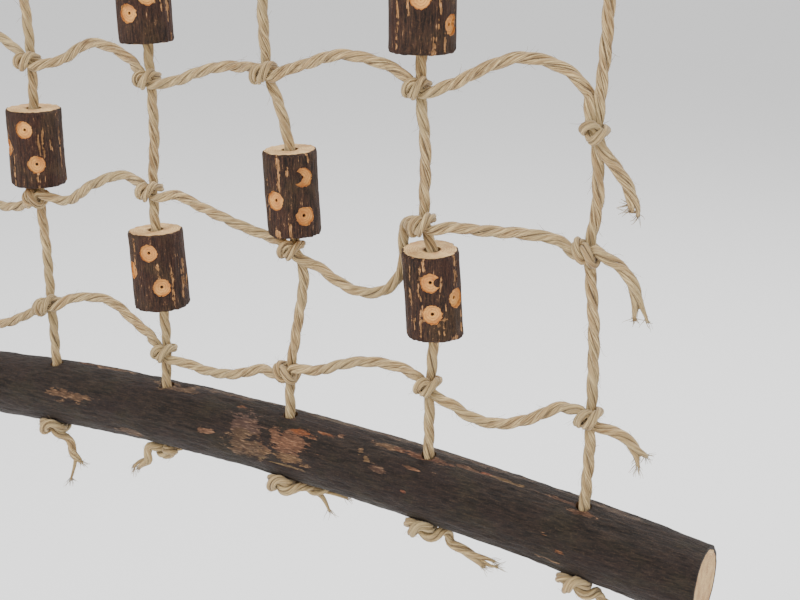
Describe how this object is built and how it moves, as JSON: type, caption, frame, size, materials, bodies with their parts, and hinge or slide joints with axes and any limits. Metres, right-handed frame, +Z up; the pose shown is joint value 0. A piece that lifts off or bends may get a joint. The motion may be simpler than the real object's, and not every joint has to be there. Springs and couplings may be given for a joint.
{
  "type": "cargo climbing net",
  "caption": "Small-pet climbing net of knotted twisted rope between two bark-covered branch bars, with drilled wooden blocks threaded on the upright ropes and S-hooks to hang it by.",
  "frame": {"origin": "midway between the centres of the two S-hooks' upper bends, where the wire runs that the net hangs from", "axes": "+X along the bars, +Z up, -Y towards the front"},
  "size_m": [0.36, 0.0244, 0.3682],
  "materials": {
    "flax_rope": "dry twisted plant-fibre rope",
    "bar_bark": "natural dark bark, worn in places, sawn ends",
    "block_bark": "dark bark with peeled streaks, light sawn ends",
    "zinc_wire": "bright zinc-plated steel wire"
  },
  "bodies": {
    "hooks": {"hook_left": "zinc_wire", "hook_right": "zinc_wire"},
    "top_bar": {"top_bar": "bar_bark", "screw_eye_left": "zinc_wire", "screw_eye_right": "zinc_wire"},
    "upper_net": {"cross_rope_1": "flax_rope"},
    "net": {"cross_rope_2": "flax_rope", "cross_rope_3": "flax_rope", "cross_rope_4": "flax_rope", "cross_rope_5": "flax_rope", "upright_rope_1": "flax_rope", "upright_rope_2": "flax_rope", "upright_rope_3": "flax_rope", "upright_rope_4": "flax_rope", "upright_rope_5": "flax_rope", "upright_rope_6": "flax_rope"},
    "bottom_bar": {"bottom_bar": "bar_bark"},
    "block_1": {"block_1": "block_bark"},
    "block_2": {"block_2": "block_bark"},
    "block_3": {"block_3": "block_bark"},
    "block_4": {"block_4": "block_bark"},
    "block_5": {"block_5": "block_bark"},
    "block_6": {"block_6": "block_bark"},
    "block_7": {"block_7": "block_bark"},
    "block_8": {"block_8": "block_bark"}
  },
  "joints": [
    {"name": "swing", "type": "hinge", "parent": "hooks", "child": "top_bar", "pos_m": [0, 0, -0.0225], "axis": [1, 0, 0], "range_deg": [-75, 75]},
    {"name": "top_fold", "type": "hinge", "parent": "top_bar", "child": "upper_net", "pos_m": [0, 0, -0.076], "axis": [1, 0, 0], "range_deg": [-75, 75], "deforming": ["upright_rope_1", "upright_rope_2", "upright_rope_3", "upright_rope_4", "upright_rope_5", "upright_rope_6"]},
    {"name": "mid_fold", "type": "hinge", "parent": "upper_net", "child": "net", "pos_m": [0, 0, -0.125], "axis": [1, 0, 0], "range_deg": [-75, 75]},
    {"name": "bottom_fold", "type": "hinge", "parent": "net", "child": "bottom_bar", "pos_m": [0, 0, -0.3138], "axis": [1, 0, 0], "range_deg": [-60, 60]},
    {"name": "block_slide_1", "type": "slide", "parent": "net", "child": "block_1", "axis": [0.0463, 0, 0.9989], "range_m": [-0.0057, 0.0017]},
    {"name": "block_slide_2", "type": "slide", "parent": "net", "child": "block_2", "axis": [0.0226, 0, 0.9997], "range_m": [-0.0097, 0.0027]},
    {"name": "block_slide_3", "type": "slide", "parent": "net", "child": "block_3", "axis": [0.0116, 0, 0.9999], "range_m": [0, 0.0132]},
    {"name": "block_slide_4", "type": "slide", "parent": "net", "child": "block_4", "axis": [-0.042, 0, 0.9991], "range_m": [-0.0047, 0.0072]},
    {"name": "block_slide_5", "type": "slide", "parent": "net", "child": "block_5", "axis": [-0.0449, 0, 0.999], "range_m": [-0.0102, 0.0102]},
    {"name": "block_slide_6", "type": "slide", "parent": "net", "child": "block_6", "axis": [-0.0439, 0, 0.999], "range_m": [0, 0.006]},
    {"name": "block_slide_7", "type": "slide", "parent": "net", "child": "block_7", "axis": [0.0055, 0, 1], "range_m": [-0.0042, 0.0057]},
    {"name": "block_slide_8", "type": "slide", "parent": "net", "child": "block_8", "axis": [-0.0283, 0, 0.9996], "range_m": [-0.0122, 0.0037]}
  ]
}
